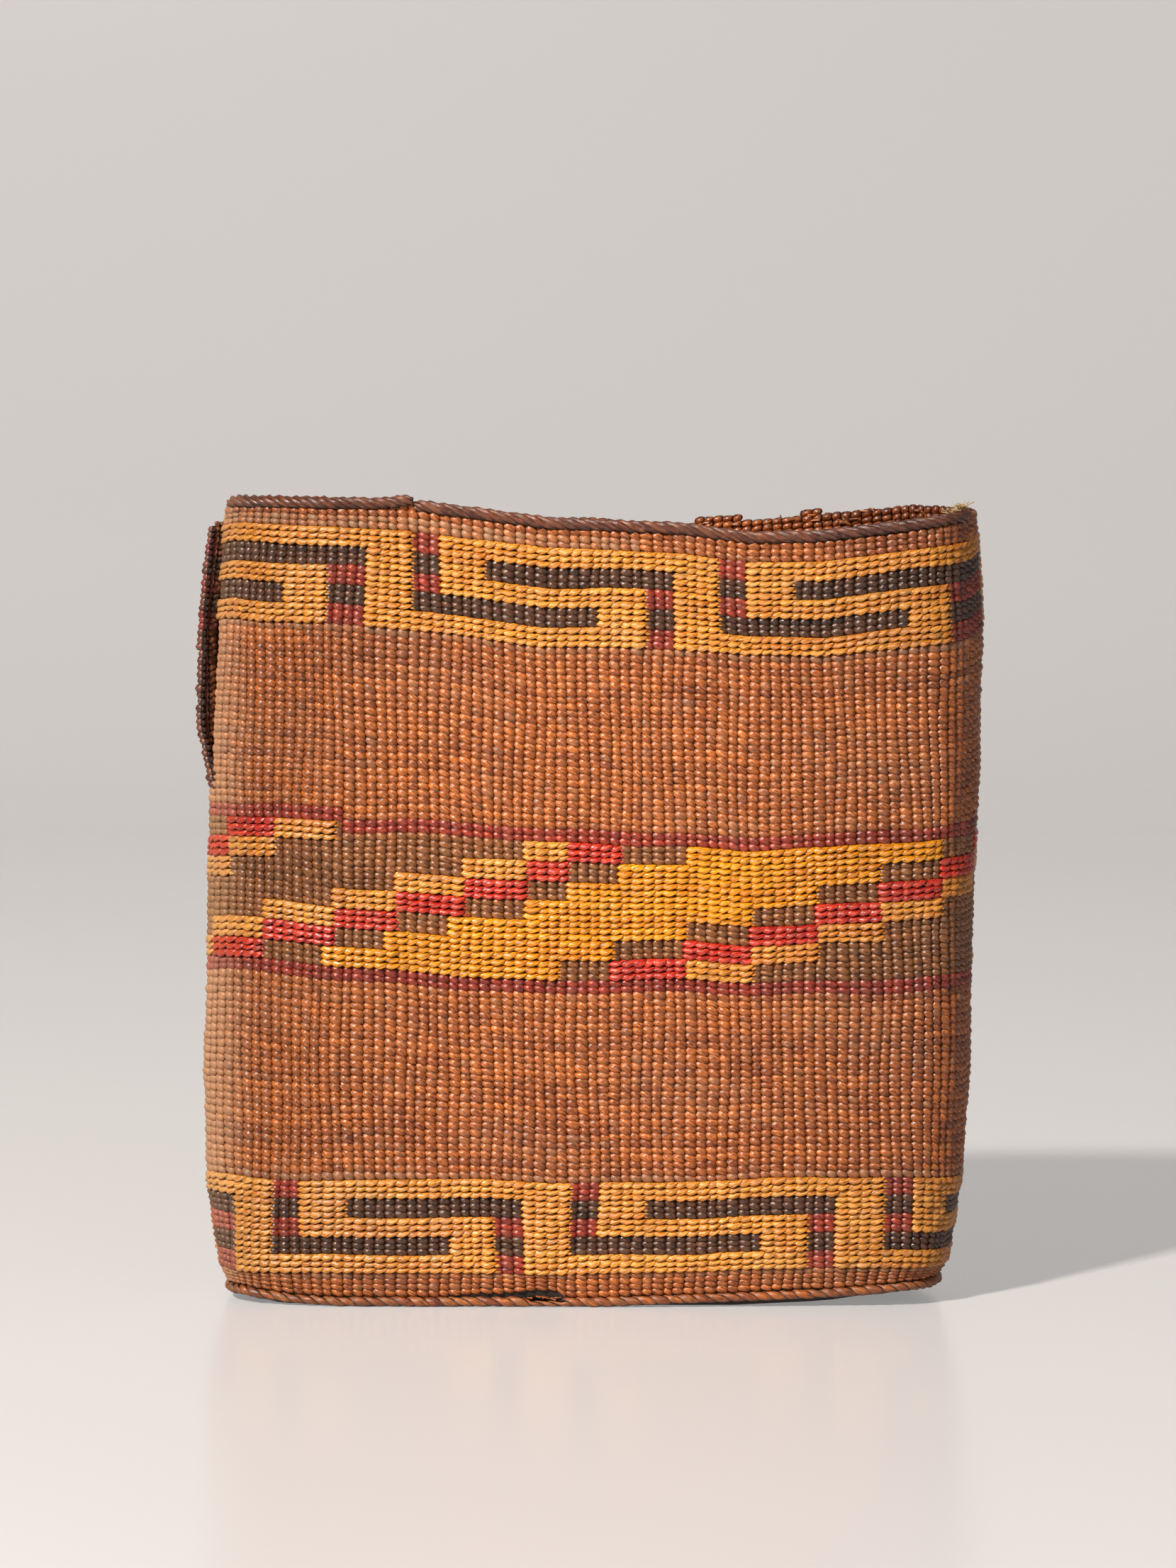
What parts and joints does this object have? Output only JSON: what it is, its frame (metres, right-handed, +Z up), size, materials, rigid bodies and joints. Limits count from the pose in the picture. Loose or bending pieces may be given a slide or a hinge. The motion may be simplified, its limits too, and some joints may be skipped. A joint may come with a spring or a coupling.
{
  "type": "twined root basket",
  "caption": "Tall oblong twined basket, flattened with age, with fret bands, a stepped middle band, a rope rim on the front and a torn left end.",
  "frame": {"origin": "on the floor under the middle of the basket", "axes": "+Z up, the pictured front faces -Y, +X to the viewer's right"},
  "size_m": [0.2218, 0.0506, 0.2269],
  "materials": {
    "brown_root": "split root, satin",
    "base_root": "split root, worn",
    "band_root": "split root dyed dark brown and red, in blocks",
    "line_root": "split root dyed red",
    "middle_root": "split root dyed mid brown",
    "border_root": "twisted split root, worn",
    "rim_root": "twisted split root, polished by handling",
    "gold_grass": "split grass stem, glossy",
    "yellow_grass": "split grass stem dyed yellow, glossy",
    "red_grass": "split grass stem dyed red and gold, glossy"
  },
  "bodies": {
    "root": {"base_panel": "base_root", "base_border": "border_root", "foot_courses": "brown_root", "lower_band_courses": "band_root", "lower_plain_courses": "brown_root", "lower_line_courses": "line_root", "middle_band_courses": "middle_root", "upper_line_courses": "line_root", "upper_plain_courses": "brown_root", "upper_band_courses": "band_root", "collar_courses": "brown_root", "rim_rope_left": "rim_root", "rim_rope_right": "rim_root", "lower_fret_overlay": "gold_grass", "upper_fret_overlay": "gold_grass", "upper_fret_front_hook": "gold_grass", "upper_fret_torn_end": "gold_grass", "front_yellow_steps": "yellow_grass", "front_upper_stair": "red_grass", "front_lower_stair": "red_grass", "back_yellow_steps": "yellow_grass", "back_upper_stair": "red_grass", "back_lower_stair": "red_grass"}
  },
  "joints": []
}
